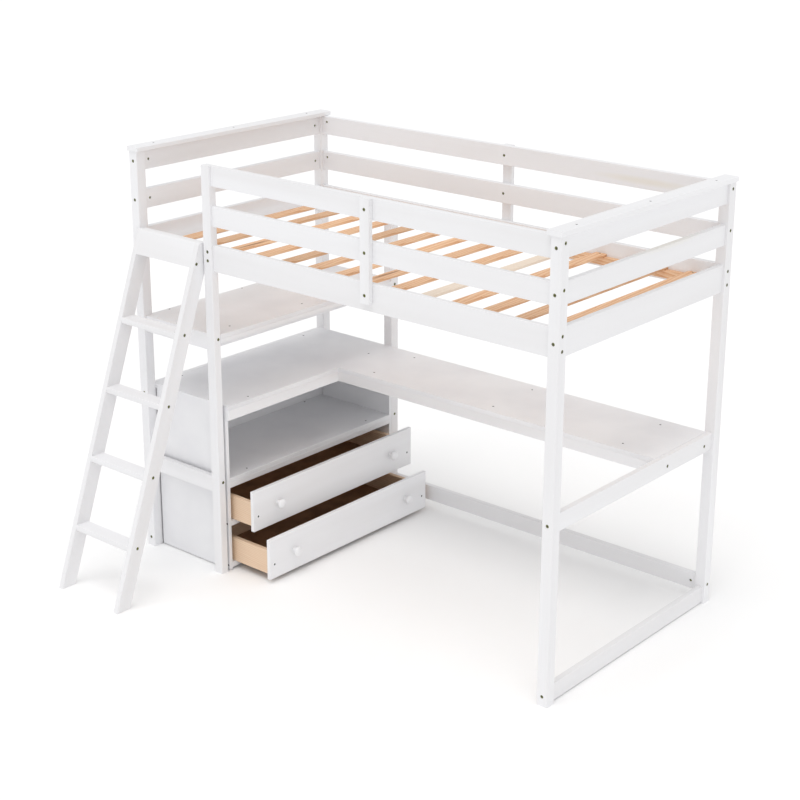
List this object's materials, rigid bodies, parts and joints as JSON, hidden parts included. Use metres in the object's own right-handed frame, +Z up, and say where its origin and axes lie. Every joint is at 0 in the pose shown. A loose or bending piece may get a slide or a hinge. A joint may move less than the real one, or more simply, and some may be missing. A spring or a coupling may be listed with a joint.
{
  "type": "loft bed with desk",
  "caption": "White timber loft bed with a leaning ladder, slatted base and guard rails over an L-shaped desk, shelves and a chest of sliding drawers.",
  "frame": {"origin": "on the floor, under the centre of the bounding box, ladder included", "axes": "+X from the ladder end to the desk end, +Y from the ladder side to the back, +Z up"},
  "size_m": [2.01, 1.5512, 1.64],
  "materials": {
    "white_frame": "white satin paint on planed pine",
    "board_white": "white satin paint on MDF",
    "pine": "bare planed pine",
    "drawer_wood": "bare sanded softwood and hardboard",
    "bright_steel": "zinc plated and yellow passivated",
    "dark_steel": "dark phosphated"
  },
  "bodies": {
    "bed_frame": {"post_front_left": "white_frame", "post_front_right": "white_frame", "post_back_left": "white_frame", "post_back_right": "white_frame", "leg_front_inner": "white_frame", "leg_back_inner": "white_frame", "stile_front_left": "white_frame", "stile_front_middle": "white_frame", "stile_back_middle": "white_frame", "guard_front_top": "white_frame", "guard_front_middle": "white_frame", "bed_rail_front": "white_frame", "guards_back": "white_frame", "bed_rail_back": "white_frame", "guards_left": "white_frame", "bed_rail_left": "white_frame", "guards_right": "white_frame", "bed_rail_right": "white_frame", "cap_left": "white_frame", "cap_right": "white_frame", "desk_rails": "white_frame", "foot_rails_ends": "white_frame", "foot_rail_back": "white_frame", "shelf_rails": "white_frame", "shelf_bearers": "white_frame", "shelf_apron": "white_frame", "desk_apron_wing": "white_frame", "desk_apron_front": "white_frame", "desk_bearers": "white_frame", "cabinet_shelf_apron": "white_frame", "cabinet_shelf_bearers": "white_frame", "cabinet_rails": "white_frame", "drawer_runners": "white_frame", "ladder_stile_left": "white_frame", "ladder_stile_right": "white_frame", "ladder_treads": "white_frame", "ladder_top_board": "white_frame", "shelf_board": "board_white", "desk_top_wing": "board_white", "desk_top_long": "board_white", "cabinet_side_front": "board_white", "cabinet_side_back": "board_white", "cabinet_back_panel": "board_white", "cabinet_shelf": "board_white", "slat_ledgers": "pine", "slats": "pine", "bolts": "bright_steel", "nuts": "bright_steel", "screws": "dark_steel", "dowels": "pine"},
    "drawer_upper": {"drawer_upper_front": "white_frame", "drawer_upper_box": "drawer_wood", "drawer_upper_bottom": "drawer_wood", "drawer_upper_knobs": "white_frame", "drawer_upper_screws": "dark_steel"},
    "drawer_lower": {"drawer_lower_front": "white_frame", "drawer_lower_box": "drawer_wood", "drawer_lower_bottom": "drawer_wood", "drawer_lower_knobs": "white_frame", "drawer_lower_screws": "dark_steel"}
  },
  "joints": [
    {"name": "drawer_upper_slide", "type": "slide", "parent": "bed_frame", "child": "drawer_upper", "axis": [1, 0, 0], "range_m": [-0.107, 0.153]},
    {"name": "drawer_lower_slide", "type": "slide", "parent": "bed_frame", "child": "drawer_lower", "axis": [1, 0, 0], "range_m": [-0.19, 0.07]}
  ]
}
